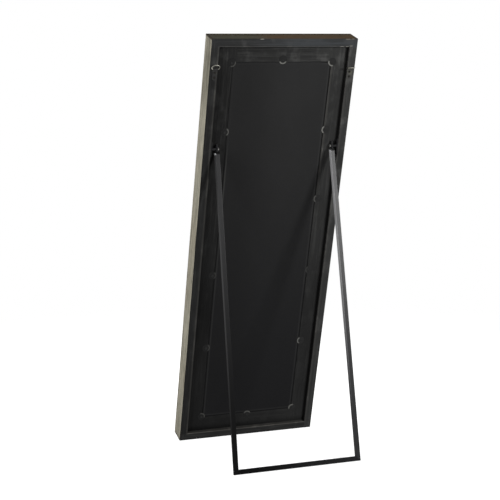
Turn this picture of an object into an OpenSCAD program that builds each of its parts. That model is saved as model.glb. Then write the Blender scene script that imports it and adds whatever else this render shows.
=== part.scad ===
// Full-length mirror: deep mitred wooden box frame, mirror held from behind by round washers,
// and a U-shaped square-tube stand that swings out of the back and folds into it.
// Millimetres, +Z up, glass towards -Y, origin on the floor under the middle of the bounding box.
// Left and right are those of a person looking into the glass, so right is +X.

/* [Frame] */
// Width over the outer rails
frame_w = 610; // [480:5:760]
// Height over the outer rails, along their slope
frame_h = 1778; // [1600:2:2000]
// Depth of the outer rails, front to back
frame_d = 80; // [70:1:110]
// Thickness of the outer rails
rail_t = 33; // [28:1:42]
// Eased edge of the outer rails
rail_arris = 1.5; // [0.5:0.25:4]
// Depth of the recess behind the face boards
back_recess = 16; // [16:0.5:30]
// How far the frame leans back from upright, in degrees
lean = 17.9; // [16.5:0.1:24]

/* [Face boards] */
// Thickness of the face boards
face_t = 22; // [16:0.5:30]
// Width of the upright boards that shows inside the rails
stile_w = 80; // [60:1:110]
// Height of the top board that shows inside the rails
head_w = 79; // [55:1:110]
// Height of the bottom board that shows inside the rails
sill_w = 82; // [55:1:110]
// How far the boards are housed in the rails' groove
housing = 8; // [4:0.5:14]
// Width of the rebate that takes the glass
rebate_w = 16; // [10:0.5:24]
// Eased edge round the opening
sight_arris = 2; // [0.5:0.25:4]

/* [Mirror and backing] */
// Thickness of the mirror glass
glass_t = 4; // [3:0.5:6]
// Gap between the glass and the rebate's wall
glass_gap = 1; // [0.5:0.25:3]
// Thickness of the backing board
backer_t = 4; // [3:0.5:6]
// Gap between the backing board and the rebate's wall
backer_gap = 2; // [0.5:0.25:4]

/* [Retaining washers] */
// Diameter of a retaining washer
washer_d = 34; // [26:1:44]
// Thickness of a retaining washer at its middle
washer_t = 2; // [1.5:0.25:3]
// How far a washer's rim laps over the backing board's rebate
washer_lap = 9; // [4:0.5:10]
// How far a corner washer's middle lies outside the rebate's upright wall
corner_out = 3.5; // [3:0.5:8]
// How far a corner washer's middle lies inside the rebate's top or bottom wall
corner_in = 2.5; // [0:0.5:12]
// Places of the washers between the corners, as shares of the rebate's height
washer_shares = [0.213, 0.426, 0.63, 0.82];

/* [Screws] */
// Diameter of the wood screws
screw_d = 3.6; // [3:0.1:4.5]
// Length of the wood screws under the head
screw_l = 14; // [10:1:18]
// Diameter of their pan heads
head_d = 8; // [6.5:0.25:10]
// Height of their pan heads
head_h = 2.2; // [1.5:0.1:3]
// Gap round a fixed screw or bolt in its hole
screw_fit = 0.1; // [0.05:0.05:0.3]

/* [Hangers] */
// Distance from the top of the frame to the rings' hinge line
hanger_drop = 118; // [90:1:220]
// Distance from the outer face of the rails to the hangers' middle
hanger_in = 21.5; // [17:0.5:24]
// Width of a hanger strap
strap_w = 20; // [16:0.5:22]
// Length of a strap below the hinge line
strap_l = 46; // [38:1:60]
// Thickness of one layer of the folded strap
strap_t = 1; // [0.8:0.1:1.4]
// Distance from the hinge line to a strap's upper screw
strap_screw_a = 14; // [12:0.5:16]
// Distance from the hinge line to a strap's lower screw
strap_screw_b = 34; // [28:1:44]
// Diameter of the ring wire
wire_d = 3.5; // [3:0.1:4]
// Width over a ring
ring_w = 35; // [32:1:44]
// Height over a ring, from under its straight bar
ring_h = 27; // [24:0.5:34]
// Bend radius of a ring's two lower corners, on the wire's axis
ring_bend = 3.2; // [2.6:0.1:4]
// How far the left ring stands out from its upright place, in degrees
left_ring_out = 72; // [0:1:120]
// How far the right ring stands out from its upright place, in degrees
right_ring_out = 36; // [0:1:120]

/* [Stand] */
// Height of the pivots along the frame
pivot_h = 1330; // [1180:5:1450]
// Distance from the back of the frame in to the pivots
pivot_in = 6.5; // [5:0.5:6.5]
// Side of the square tube
tube = 18; // [14:0.5:18]
// Wall of the tube
tube_wall = 1.5; // [1:0.1:2.5]
// Outer corner radius of the tube
tube_r = 1.6; // [0.8:0.1:2.4]
// Distance from a pivot down to the end of its leg's tube
tube_start = 12; // [10.5:0.5:18]
// Gap between the folded legs and the rails at the foot
leg_gap = 1.5; // [1:0.5:6]
// Gap between the folded cross bar and the bottom rail
bar_gap = 15; // [5:0.5:16]
// Thickness of the flat tongue in the top of each leg
tongue_t = 5; // [4:0.5:6]
// Length of a tongue below the end of the tube
stem_l = 22; // [15:1:35]
// Length of a tongue's heel above the pivot
heel_l = 20; // [18:0.5:28]
// Gap left between the heel and the board that it stops on
stop_gap = 0.3; // [0.2:0.05:0.4]

/* [Pivots] */
// Diameter of the pivot bolt
bolt_d = 6; // [5:0.5:6]
// Gap between the bolt and the tongue's bore
bolt_fit = 0.05; // [0.02:0.01:0.08]
// Depth of the bolt in the rail
bolt_in = 26; // [18:1:26]
// Width across the flats of the bolt's head
bolt_af = 10; // [8:0.5:11]
// Height of the bolt's head
bolt_head = 4; // [3:0.5:5]
// Thickness of the plate on the rail
plate_t = 3; // [2:0.5:5]
// Width of the plate
plate_w = 12; // [10:0.5:12]
// Height of the plate
plate_h = 64; // [52:1:90]
// Distance from the pivot to each plate screw
plate_screw = 22; // [18:0.5:30]
// Outer diameter of the spacer sleeve
sleeve_d = 11; // [9:0.5:12]
// Length of the spacer sleeve
sleeve_l = 17.7; // [12:0.1:22]
// Outer diameter of the flat washers
flat_d = 12; // [11:0.5:13]
// Thickness of the flat washers
flat_t = 1.5; // [1:0.1:2]
// Side play between the tongue and each flat washer
side_play = 0.3; // [0.2:0.05:0.5]

/* [View] */
// The piece to draw, or all

/* [Hidden] */
$fn = 64;
// Inner faces of the rails, and the floor of the recess behind the boards
wall_x = frame_w / 2 - rail_t;
wall_top = frame_h - rail_t;
ledge_y = -back_recess;
face_y = ledge_y - face_t;
// Opening that shows the glass
sight_x = wall_x - stile_w;
sight_top = wall_top - head_w;
sight_low = rail_t + sill_w;
// Walls of the rebate that takes glass and backing
rebate_x = sight_x + rebate_w;
rebate_top = sight_top + rebate_w;
rebate_low = sight_low - rebate_w;
rebate_d = glass_t + backer_t;
// Middles of the washers along the rebate's edges
washer_out = washer_d / 2 - washer_lap;
washer_x = rebate_x + washer_out;
corner_x = rebate_x + corner_out;
washer_spots = concat(
    [for (s = [-1, 1]) for (k = washer_shares)
        [s * washer_x, rebate_low + k * (rebate_top - rebate_low)]],
    [for (s = [-1, 1]) for (z = [rebate_low + corner_in, rebate_top - corner_in])
        [s * corner_x, z]],
    [[0, rebate_top + washer_out], [0, rebate_low - washer_out]]);
// Hangers
hanger_x = frame_w / 2 - hanger_in;
hanger_z = frame_h - hanger_drop;
wire_bore = wire_d / 2 + 0.05;
loop_r = wire_bore + strap_t;
ring_r = (ring_w - wire_d) / 2;
ring_side = ring_h - wire_d - ring_r - ring_bend;
// Pivots
bolt_hole = bolt_d / 2 + screw_fit;
tongue_x = wall_x - plate_t - sleeve_l - flat_t - side_play - tongue_t / 2;
head_x = tongue_x - tongue_t / 2 - side_play - flat_t - bolt_head;
// Stand: the cross bar's rounded front edge rests on the floor
floor_rise = rail_arris * sin(lean);
pivot_y = pivot_h * sin(lean) - pivot_in * cos(lean);
pivot_z = pivot_h * cos(lean) + pivot_in * sin(lean) - floor_rise;
leg_reach = pivot_h - rail_t - bar_gap;
bar_z = leg_reach - tube / 2;
foot_r = norm([leg_reach - tube_r, tube / 2 - tube_r]);
foot_tilt = atan((tube / 2 - tube_r) / (leg_reach - tube_r));
leg_slope = foot_tilt + acos((pivot_z - tube_r) / foot_r);
open_angle = lean + leg_slope;
corner_leg_x = wall_x - leg_gap - tube / 2;
splay = atan((corner_leg_x - tongue_x) / bar_z);
mitre = 45 - splay / 2;
// Middle of the bounding box along Y
y_front = rail_arris * sin(lean) - frame_d * cos(lean);
y_foot = pivot_y + (leg_reach - tube_r) * sin(leg_slope)
    + (tube / 2 - tube_r) * cos(leg_slope) + tube_r;
y_mid = (y_front + max(y_foot, frame_h * sin(lean))) / 2;
// Room beyond a cut, so that no two faces lie in one plane
over = 4;

echo(open_angle = open_angle, leg_reach = leg_reach, splay = splay);
echo(pivot = [0, pivot_y - y_mid, pivot_z]);
echo(ring_hinge = [hanger_x, hanger_z, loop_r], y_mid = y_mid, floor_rise = floor_rise);

// Puts what is drawn upright, with its back in the plane y = 0, into the leaning frame
module in_frame() {
    translate([0, -y_mid, -floor_rise]) rotate([-lean, 0, 0]) children();
}

// Puts what is drawn with the pivots on the X axis and the legs down into the open stand
module in_stand() {
    in_frame() translate([0, -pivot_in, pivot_h]) rotate([open_angle, 0, 0]) children();
}

// The right-hand piece as drawn, or its mirror image on the left
module on_side(side) {
    if (side < 0) mirror([1, 0, 0]) children();
    else children();
}

// A flat outline drawn in x and z, made solid between two planes of y
module slab(y0, y1) {
    translate([0, y1, 0]) rotate([90, 0, 0]) linear_extrude(y1 - y0) children();
}

// A round hole or shaft along Y
module along_y(r, y0, y1) {
    translate([0, y1, 0]) rotate([90, 0, 0]) cylinder(r = r, h = y1 - y0);
}

// A round hole or shaft along X
module along_x(r, x0, x1) {
    translate([x0, 0, 0]) rotate([0, 90, 0]) cylinder(r = r, h = x1 - x0);
}

// Section of an outer rail: x runs from the outer face inwards, y from front to back
module rail_section() {
    c = rail_arris;
    difference() {
        polygon([[c, 0], [0, -c], [0, c - frame_d], [c, -frame_d], [rail_t - c, -frame_d],
            [rail_t, c - frame_d], [rail_t, -c], [rail_t - c, 0]]);
        translate([rail_t - housing, face_y]) square([housing + over, face_t]);
    }
}

// A mitred rail of a given length, standing along Z with its outer face at x = 0
module mitred_rail(length) {
    intersection() {
        linear_extrude(length) rail_section();
        slab(-frame_d - over, over)
            polygon([[-over, -over], [rail_t + over, rail_t + over],
                [rail_t + over, length - rail_t - over], [-over, length + over]]);
    }
}

// Upright rail of one side, drilled for its pivot and its hanger
module side_rail(side) {
    on_side(side) difference() {
        translate([frame_w / 2, 0, 0]) mirror([1, 0, 0]) mitred_rail(frame_h);
        translate([0, -pivot_in, pivot_h]) {
            along_x(bolt_hole, wall_x - over, wall_x + bolt_in + 1);
            for (z = [-plate_screw, plate_screw])
                translate([0, 0, z])
                    along_x(screw_d / 2 + screw_fit, wall_x - over, wall_x + screw_l);
        }
        for (z = [strap_screw_a, strap_screw_b])
            translate([hanger_x, 0, hanger_z - z]) along_y(screw_d / 2 + screw_fit, -screw_l, over);
    }
}

module left_outer_rail() {
    color([0.50, 0.49, 0.42]) in_frame() side_rail(-1);
}

module right_outer_rail() {
    color([0.50, 0.49, 0.42]) in_frame() side_rail(1);
}

module top_outer_rail() {
    color([0.42, 0.33, 0.25]) in_frame()
        translate([frame_w / 2, 0, frame_h]) rotate([0, -90, 0]) mirror([1, 0, 0])
            mitred_rail(frame_w);
}

module bottom_outer_rail() {
    color([0.44, 0.40, 0.33]) in_frame()
        translate([frame_w / 2, 0, 0]) rotate([0, -90, 0]) mitred_rail(frame_w);
}

// Space that glass and backing take in the boards
module rebate_space() {
    slab(ledge_y - rebate_d, ledge_y + over)
        polygon([[-rebate_x, rebate_low], [rebate_x, rebate_low],
            [rebate_x, rebate_top], [-rebate_x, rebate_top]]);
}

// Eased edge round the front of the opening, as a frame-shaped wedge
module sight_ease() {
    c = sight_arris;
    for (s = [-1, 1])
        translate([s * sight_x, face_y, 0])
            linear_extrude(frame_h)
                polygon([[0, c + over], [-s * over, c + over], [-s * over, -over],
                    [s * (c + over), -over], [s * c, 0], [0, c]]);
    for (z = [[sight_low, -1], [sight_top, 1]])
        translate([-frame_w / 2, face_y, z[0]]) rotate([90, 0, 90])
            linear_extrude(frame_w)
                polygon([[c + over, 0], [c + over, -z[1] * over], [-over, -z[1] * over],
                    [-over, z[1] * (c + over)], [0, z[1] * c], [c, 0]]);
}

// Holes for the screws of the retaining washers
module washer_holes() {
    for (p = washer_spots)
        translate([p[0], 0, p[1]])
            along_y(screw_d / 2 + screw_fit, ledge_y - screw_l, ledge_y + over);
}

// Upright board of one side, housed in three rails
module side_board(side) {
    difference() {
        on_side(side) translate([sight_x, face_y, rail_t - housing])
            cube([stile_w + housing, face_t, wall_top - rail_t + 2 * housing]);
        rebate_space();
        washer_holes();
        intersection() {
            sight_ease();
            slab(face_y - over, face_y + sight_arris + over)
                polygon([[-frame_w, sight_low - sight_arris], [frame_w, sight_low - sight_arris],
                    [frame_w, sight_top + sight_arris], [-frame_w, sight_top + sight_arris]]);
        }
    }
}

// Board between the uprights, from one height to another
module cross_board(z0, z1) {
    difference() {
        translate([-sight_x, face_y, z0]) cube([2 * sight_x, face_t, z1 - z0]);
        rebate_space();
        washer_holes();
        sight_ease();
    }
}

module left_face_board() {
    color([0.47, 0.45, 0.38]) in_frame() side_board(-1);
}

module right_face_board() {
    color([0.47, 0.45, 0.38]) in_frame() side_board(1);
}

module top_face_board() {
    color([0.41, 0.35, 0.28]) in_frame() cross_board(sight_top, wall_top + housing);
}

module bottom_face_board() {
    color([0.43, 0.38, 0.31]) in_frame() cross_board(rail_t - housing, sight_low);
}

// A flat sheet in the rebate, clear of its walls by a gap
module sheet(gap, y0, y1) {
    x = rebate_x - gap;
    slab(y0, y1)
        polygon([[-x, rebate_low + gap], [x, rebate_low + gap],
            [x, rebate_top - gap], [-x, rebate_top - gap]]);
}

module mirror_glass() {
    color([0.78, 0.83, 0.85]) in_frame() sheet(glass_gap, ledge_y - rebate_d, ledge_y - backer_t);
}

module backing_board() {
    color([0.13, 0.13, 0.14]) in_frame() sheet(backer_gap, ledge_y - backer_t, ledge_y);
}

// A dished washer with its flat side down on z = 0
module dished_washer() {
    r = washer_d / 2;
    hole = screw_d / 2 + 3 * screw_fit;
    rotate_extrude()
        polygon([[hole, 0], [r, 0], [r, washer_t * 0.4], [r - 1.2, washer_t * 0.7],
            [head_d / 2 + 2, washer_t], [hole, washer_t]]);
}

module retaining_washers() {
    color([0.10, 0.10, 0.11]) in_frame()
        for (p = washer_spots)
            translate([p[0], ledge_y, p[1]]) rotate([-90, 0, 0]) dished_washer();
}

// A pan-headed wood screw along Z, the underside of its head at z = 0 and its point at -length
module wood_screw(length) {
    r = screw_d / 2;
    h = head_d / 2;
    rotate_extrude()
        polygon([[0, -length], [r, -length + 2 * r], [r, 0], [h, 0], [h, head_h * 0.45],
            [h * 0.72, head_h * 0.9], [h * 0.3, head_h], [0, head_h]]);
}

module retaining_screws() {
    color([0.16, 0.16, 0.17]) in_frame()
        for (p = washer_spots)
            translate([p[0], ledge_y + washer_t, p[1]]) rotate([-90, 0, 0]) wood_screw(screw_l);
}

// Folded strap of a hanger: two layers on the rail and a loop round the ring's straight bar
module strap_profile() {
    difference() {
        union() {
            translate([loop_r, 0]) circle(r = loop_r);
            translate([0, -strap_l]) square([strap_t, strap_l]);
            translate([0, -strap_l]) square([2 * strap_t, strap_l - 3 * loop_r]);
            polygon([[strap_t, -3 * loop_r], [2 * strap_t, -3 * loop_r], [2 * loop_r, 0],
                [2 * loop_r - strap_t, 0]]);
        }
        translate([loop_r, 0]) circle(r = wire_bore);
    }
}

module hanger_strap(side) {
    end_r = strap_w / 2;
    on_side(side) in_frame() translate([hanger_x, 0, hanger_z]) difference() {
        intersection() {
            translate([-strap_w / 2, 0, 0]) rotate([90, 0, 90]) linear_extrude(strap_w) strap_profile();
            slab(-over, 2 * loop_r + over) union() {
                translate([0, end_r - strap_l]) circle(r = end_r);
                translate([-end_r, end_r - strap_l]) square([strap_w, strap_l + 2 * loop_r]);
            }
        }
        for (z = [strap_screw_a, strap_screw_b])
            translate([0, 0, -z]) along_y(screw_d / 2 + 2 * screw_fit, -over, 3 * loop_r);
    }
}

module left_hanger_strap() {
    color([0.40, 0.38, 0.33]) hanger_strap(-1);
}

module right_hanger_strap() {
    color([0.40, 0.38, 0.33]) hanger_strap(1);
}

module hanger_screws() {
    color([0.55, 0.54, 0.50]) in_frame()
        for (s = [-1, 1])
            for (z = [strap_screw_a, strap_screw_b])
                translate([s * hanger_x, 2 * strap_t, hanger_z - z]) rotate([-90, 0, 0])
                    wood_screw(screw_l);
}

// A wire along Z from z = 0
module wire(length) {
    cylinder(r = wire_d / 2, h = length);
}

// D-shaped ring in the x-z plane, its straight bar on the X axis
module d_ring() {
    bar = ring_r - ring_bend;
    translate([-bar, 0, 0]) rotate([0, 90, 0]) wire(2 * bar);
    for (s = [-1, 1]) on_side(s) {
        translate([bar, 0, ring_bend]) rotate([90, 0, 0])
            rotate([0, 0, -90]) rotate_extrude(angle = 90) translate([ring_bend, 0]) circle(r = wire_d / 2);
        translate([ring_r, 0, ring_bend]) wire(ring_side);
    }
    translate([0, 0, ring_bend + ring_side]) rotate([90, 0, 0])
        rotate_extrude(angle = 180) translate([ring_r, 0]) circle(r = wire_d / 2);
}

// A ring in its strap, turned out of the upright place by an angle
module hanger_ring(side, out) {
    in_frame() translate([side * hanger_x, loop_r, hanger_z]) rotate([-out, 0, 0]) d_ring();
}

module left_hanger_ring() {
    color([0.66, 0.64, 0.58]) hanger_ring(-1, left_ring_out);
}

module right_hanger_ring() {
    color([0.66, 0.64, 0.58]) hanger_ring(1, right_ring_out);
}

// Plate on the rail's inner face that carries the pivot bolt
module pivot_plate(side) {
    w = plate_w / 2;
    on_side(side) in_frame() translate([wall_x - plate_t, -pivot_in, pivot_h]) {
        rotate([90, 0, 90]) linear_extrude(plate_t) difference() {
            union() {
                square([plate_w, plate_h - plate_w], center = true);
                for (z = [-1, 1]) translate([0, z * (plate_h / 2 - w)]) circle(r = w);
            }
            circle(r = bolt_hole);
            for (z = [-plate_screw, plate_screw]) translate([0, z]) circle(r = screw_d / 2 + 2 * screw_fit);
        }
    }
}

module left_pivot_plate() {
    color([0.08, 0.08, 0.09]) pivot_plate(-1);
}

module right_pivot_plate() {
    color([0.08, 0.08, 0.09]) pivot_plate(1);
}

module pivot_plate_screws() {
    color([0.08, 0.08, 0.09]) in_frame()
        for (s = [-1, 1]) on_side(s)
            for (z = [-plate_screw, plate_screw])
                translate([wall_x - plate_t, -pivot_in, pivot_h + z]) rotate([0, -90, 0])
                    wood_screw(screw_l);
}

// A ring along X round the pivot, from x0 to x1
module pivot_ring(r, x0, x1) {
    translate([0, -pivot_in, pivot_h]) difference() {
        along_x(r, x0, x1);
        along_x(bolt_hole, x0 - over, x1 + over);
    }
}

module pivot_sleeves() {
    x = wall_x - plate_t;
    color([0.08, 0.08, 0.09]) in_frame()
        for (s = [-1, 1]) on_side(s) pivot_ring(sleeve_d / 2, x - sleeve_l, x);
}

module pivot_washers() {
    outer = wall_x - plate_t - sleeve_l;
    color([0.08, 0.08, 0.09]) in_frame()
        for (s = [-1, 1]) on_side(s) {
            pivot_ring(flat_d / 2, outer - flat_t, outer);
            pivot_ring(flat_d / 2, head_x + bolt_head, head_x + bolt_head + flat_t);
        }
}

// Hexagon bolt that the leg turns on
module pivot_bolt(side) {
    corner = bolt_af / sqrt(3);
    on_side(side) in_frame() translate([0, -pivot_in, pivot_h]) {
        translate([head_x, 0, 0]) rotate([0, 90, 0]) intersection() {
            cylinder(r = corner, h = bolt_head, $fn = 6);
            rotate_extrude() polygon([[0, 0], [bolt_af / 2 - 0.4, 0], [corner + 0.1, 1.1],
                [corner + 0.1, bolt_head], [0, bolt_head]]);
        }
        along_x(bolt_d / 2, head_x + bolt_head, wall_x + bolt_in);
    }
}

module left_pivot_bolt() {
    color([0.30, 0.30, 0.31]) pivot_bolt(-1);
}

module right_pivot_bolt() {
    color([0.30, 0.30, 0.31]) pivot_bolt(1);
}

// Square with round corners
module soft_square(side, r) {
    half = side / 2 - r;
    square([side, 2 * half], center = true);
    square([2 * half, side], center = true);
    for (x = [-half, half]) for (y = [-half, half]) translate([x, y]) circle(r = r);
}

// Section of the square tube
module tube_section() {
    difference() {
        soft_square(tube, tube_r);
        soft_square(tube - 2 * tube_wall, max(tube_r - tube_wall, 0.4));
    }
}

// One leg, splayed towards the foot, cut square at the top and mitred at the foot
module leg(side) {
    far = 2 * tube;
    m = far * [sin(mitre), -cos(mitre)];
    foot = [corner_leg_x, -bar_z];
    on_side(side) in_stand() intersection() {
        translate([foot[0], 0, foot[1]]) rotate([0, -splay, 0])
            translate([0, 0, -tube]) linear_extrude(bar_z + tube) tube_section();
        slab(-tube, tube)
            polygon([foot + m, [tongue_x + far, -tube_start], [tongue_x - far, -tube_start], foot - m]);
    }
}

module left_leg() {
    color([0.07, 0.07, 0.08]) leg(-1);
}

module right_leg() {
    color([0.07, 0.07, 0.08]) leg(1);
}

// Bar on the floor between the legs, mitred at both ends
module cross_bar() {
    far = 2 * tube;
    m = far * [sin(mitre), -cos(mitre)];
    foot = [corner_leg_x, -bar_z];
    color([0.07, 0.07, 0.08]) in_stand() intersection() {
        translate([-frame_w / 2, 0, -bar_z]) rotate([90, 0, 90]) linear_extrude(frame_w) tube_section();
        slab(-tube, tube)
            polygon([foot + m, foot - m,
                [-(foot - m)[0], (foot - m)[1]], [-(foot + m)[0], (foot + m)[1]]]);
    }
}

// Outline of a tongue in y and z: stem in the tube, eye on the bolt, heel that meets the board
module tongue_outline() {
    stem = tube - 2 * tube_wall - 0.4;
    shoulder = tube / 2 - 0.5;
    difference() {
        union() {
            translate([-stem / 2, -tube_start - stem_l]) square([stem, stem_l + 1]);
            intersection() {
                translate([-shoulder, -tube_start]) square([2 * shoulder, tube_start + heel_l]);
                circle(r = heel_l);
            }
        }
        rotate([0, 0, 180 - open_angle])
            translate([back_recess - pivot_in - stop_gap, -2 * heel_l]) square(4 * heel_l);
        circle(r = bolt_d / 2 + bolt_fit);
    }
}

module leg_tongue(side) {
    on_side(side) in_stand() translate([tongue_x - tongue_t / 2, 0, 0])
        rotate([90, 0, 90]) linear_extrude(tongue_t) tongue_outline();
}

module left_leg_tongue() {
    color([0.07, 0.07, 0.08]) leg_tongue(-1);
}

module right_leg_tongue() {
    color([0.07, 0.07, 0.08]) leg_tongue(1);
}

left_outer_rail();
right_outer_rail();
top_outer_rail();
bottom_outer_rail();
left_face_board();
right_face_board();
top_face_board();
bottom_face_board();
mirror_glass();
backing_board();
retaining_washers();
retaining_screws();
left_hanger_strap();
right_hanger_strap();
hanger_screws();
left_hanger_ring();
right_hanger_ring();
left_pivot_plate();
right_pivot_plate();
pivot_plate_screws();
pivot_sleeves();
pivot_washers();
left_pivot_bolt();
right_pivot_bolt();
left_leg();
right_leg();
cross_bar();
left_leg_tongue();
right_leg_tongue();
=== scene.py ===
"""Finishes, fastener details and a studio stage for a full-length leaning mirror.

The packed model stays as it is: its pieces get materials, and the screws and retaining washers
are made again with the detail that the plain solids leave out. Everything is in metres.
"""

import math

import bmesh
import bpy
from mathutils import Matrix, Vector


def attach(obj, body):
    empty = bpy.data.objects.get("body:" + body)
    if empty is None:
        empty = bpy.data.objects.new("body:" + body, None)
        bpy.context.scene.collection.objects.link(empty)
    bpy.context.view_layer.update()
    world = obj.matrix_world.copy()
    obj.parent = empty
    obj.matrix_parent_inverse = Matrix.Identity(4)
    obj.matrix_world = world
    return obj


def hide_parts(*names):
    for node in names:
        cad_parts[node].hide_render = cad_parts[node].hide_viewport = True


bl_info = {
    "name": "Leaning Mirror Finisher",
    "version": (1, 0, 0),
    "blender": (4, 5, 0),
    "location": "View3D > Sidebar > Mirror",
    "description": "Gives a leaning full-length mirror its wood, paint, metal and studio stage",
    "category": "Object",
}

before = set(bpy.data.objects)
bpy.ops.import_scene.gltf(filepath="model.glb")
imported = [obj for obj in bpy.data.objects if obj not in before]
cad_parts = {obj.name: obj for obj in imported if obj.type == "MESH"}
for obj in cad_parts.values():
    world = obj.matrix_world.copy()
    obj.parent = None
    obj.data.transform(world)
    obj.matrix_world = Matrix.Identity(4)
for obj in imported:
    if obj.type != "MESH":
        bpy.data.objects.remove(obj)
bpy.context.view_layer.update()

RAILS = ("left_outer_rail", "right_outer_rail", "top_outer_rail", "bottom_outer_rail")
BOARDS = ("left_face_board", "right_face_board", "top_face_board", "bottom_face_board")

# How far the frame leans back, from the normal of the backing board's largest face
FACE = max(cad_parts["backing_board"].data.polygons, key=lambda polygon: polygon.area)
LEAN = math.atan2(abs(FACE.normal.z), abs(FACE.normal.y))


def along_frame(point):
    """Side, height and outward distance of a point along the leaning frame, from the origin."""
    up = point.y * math.sin(LEAN) + point.z * math.cos(LEAN)
    out = point.y * math.cos(LEAN) - point.z * math.sin(LEAN)
    return Vector((point.x, up, out))


def corners(points):
    """Lowest and highest corner of the box round some points."""
    low = Vector([min(p[i] for p in points) for i in range(3)])
    high = Vector([max(p[i] for p in points) for i in range(3)])
    return low, high


def span(nodes):
    """Lowest and highest side, height and outward distance of some nodes, from the origin."""
    return corners([along_frame(v.co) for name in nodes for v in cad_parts[name].data.vertices])


OUTER = span(RAILS)
FOOT = OUTER[0].y
BACK = OUTER[1].z
WIDTH = OUTER[1].x - OUTER[0].x
HEIGHT = OUTER[1].y - OUTER[0].y
DEPTH = OUTER[1].z - OUTER[0].z
RECESS = BACK - span(BOARDS)[1].z
RAIL = span(["right_outer_rail"])[1].x - span(["right_outer_rail"])[0].x
INSIDE = WIDTH / 2 - RAIL
SHEET = span(["backing_board"])
SHEET_SIDE = SHEET[1].x
SHEET_LOW = SHEET[0].y - FOOT
SHEET_TOP = SHEET[1].y - FOOT
GLASS = span(["mirror_glass"])


def at_frame(side, height, out):
    """The point at a side, a height along the frame and a distance out of its back plane."""
    up = height + FOOT
    forth = out + BACK
    y = up * math.sin(LEAN) + forth * math.cos(LEAN)
    z = up * math.cos(LEAN) - forth * math.sin(LEAN)
    return Vector((side, y, z))


OUTWARD = at_frame(0, 0, 1) - at_frame(0, 0, 0)
UPWARD = at_frame(0, 1, 0) - at_frame(0, 0, 0)


def colour_property(name, description, *screen):
    """A colour that the panel shows as it looks on screen, with parts given from 0 to 255."""
    value = [part / 255 for part in screen]
    return bpy.props.FloatVectorProperty(
        name=name, description=description, default=value, subtype="COLOR_GAMMA", size=3, min=0, max=1
    )


def value_property(name, description, value, **kind):
    """A number with the unit or the kind that is given."""
    return bpy.props.FloatProperty(name=name, description=description, default=value, **kind)


def size_property(name, description, value):
    """A length in metres."""
    return value_property(name, description, value, min=0, unit="LENGTH")


def angle_property(name, description, degrees):
    """An angle, given in degrees."""
    return value_property(name, description, math.radians(degrees), subtype="ANGLE")


def power_property(name, description, value):
    """A lamp's power in watts."""
    return value_property(name, description, value, min=0, unit="POWER")


class MirrorWoodLook(bpy.types.PropertyGroup):
    """Colours of the weathered boards."""

    grey: colour_property("Weathered grey", "Grey-green of the boards", 153, 149, 135)
    pale: colour_property("Pale fibres", "Bleached fibres", 174, 169, 156)
    brown: colour_property("Aged brown", "Brown of the aged boards", 108, 88, 68)
    moss: colour_property("Dark green-grey", "Damp-stained part of the top board", 45, 46, 36)
    umber: colour_property("Umber", "Brown part of the top board", 78, 60, 43)
    crack: colour_property("Checks", "Dark drying cracks along the grain", 46, 41, 34)
    patch: size_property("Patch size", "Length of a patch where grey turns to brown", 0.26)
    streak: size_property("Streak width", "Width of one streak of the grain", 0.009)
    fibre: size_property("Fibre width", "Width of one raised fibre", 0.0015)


class MirrorPaintLook(bpy.types.PropertyGroup):
    """Colours of the painted back."""

    black: colour_property("Back paint", "Flat black paint on the back", 33, 33, 33)
    # Colour of real dust and dry brushing, also used for painted light on the backing and on the -X
    # side of the frame.
    dust_and_light: colour_property("Dusty paint", "Dusty and dry-brushed paint", 64, 64, 63)
    blue: colour_property("Chalky paint", "Cold cast of the paint on the top rail", 56, 58, 60)
    board: colour_property("Backing board", "Black sheet behind the glass", 21, 21, 22)
    bare: colour_property("Bare chips", "Wood where the paint is chipped off", 104, 103, 98)
    # Colour of painted highlights along the arrises, the recess's edges and the rebate.
    arris_highlight: colour_property("Light arris", "Paint rubbed thin along the arrises", 92, 90, 86)
    # Colour of painted shade, for unlit paint in the recess and for the shaded sides of the stand,
    # straps, washers and backing.
    shade_black: colour_property("Hollows", "Unlit paint in the recess", 9, 9, 9)
    ragged: size_property("Ragged edge", "How far the edge of the paint wanders", 0.0008)
    wrap: size_property("Paint wrap", "How far the paint reaches round the arris", 0.0024)


class MirrorMetalLook(bpy.types.PropertyGroup):
    """Colours of the hardware."""

    steel: colour_property("Stand", "Satin black coat of the stand", 28, 28, 29)
    # Colour of the painted highlight down one side of a leg near its top, and of a bright spot below
    # its top end.
    rubbed: colour_property("Rubbed side", "Side of a leg that is rubbed thin", 150, 150, 151)
    worn: colour_property("Worn coat", "Coat rubbed thin along the corners", 74, 74, 76)
    dull: colour_property("Dull screws", "Old plating of the screws", 36, 35, 33)
    oiled: colour_property("Dark bolts", "Dark oiled finish of the pivot bolts", 140, 139, 136)
    nickel: colour_property("Nickel", "Nickel of the hanging rings", 142, 140, 131)
    strap: colour_property("Straps", "Dull plating of the hanging straps", 43, 42, 42)
    stain: colour_property("Strap stain", "Green-grey stain on the straps", 86, 87, 72)
    speck: colour_property("Strap specks", "Specks of paint on the straps", 30, 29, 30)
    soot: colour_property("Pivots", "Flat black of the pivots", 20, 20, 21)
    rim: colour_property("Washer rims", "Bare metal on the washers' rims", 108, 108, 104)
    silver: colour_property("Mirror", "Tint of the silvered glass", 222, 228, 226)
    haze: colour_property("Mirror haze", "Faint clouds in the silvering", 206, 216, 214)


class MirrorScrewSizes(bpy.types.PropertyGroup):
    """Sizes of the screws' and washers' details."""

    pitch: size_property("Thread pitch", "Distance between two turns of the thread", 0.0014)
    slot_width: size_property("Recess width", "Width of one arm of the cross recess", 0.0011)
    slot_length: size_property("Recess length", "Length over the cross recess", 0.0044)
    slot_depth: size_property("Recess depth", "Depth of the cross recess", 0.0011)
    bead: size_property("Rim bead", "Height of the bead round a washer", 0.0005)
    lap: size_property("Worn lap", "Width of the worn strip on a washer", 0.0044)


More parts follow.
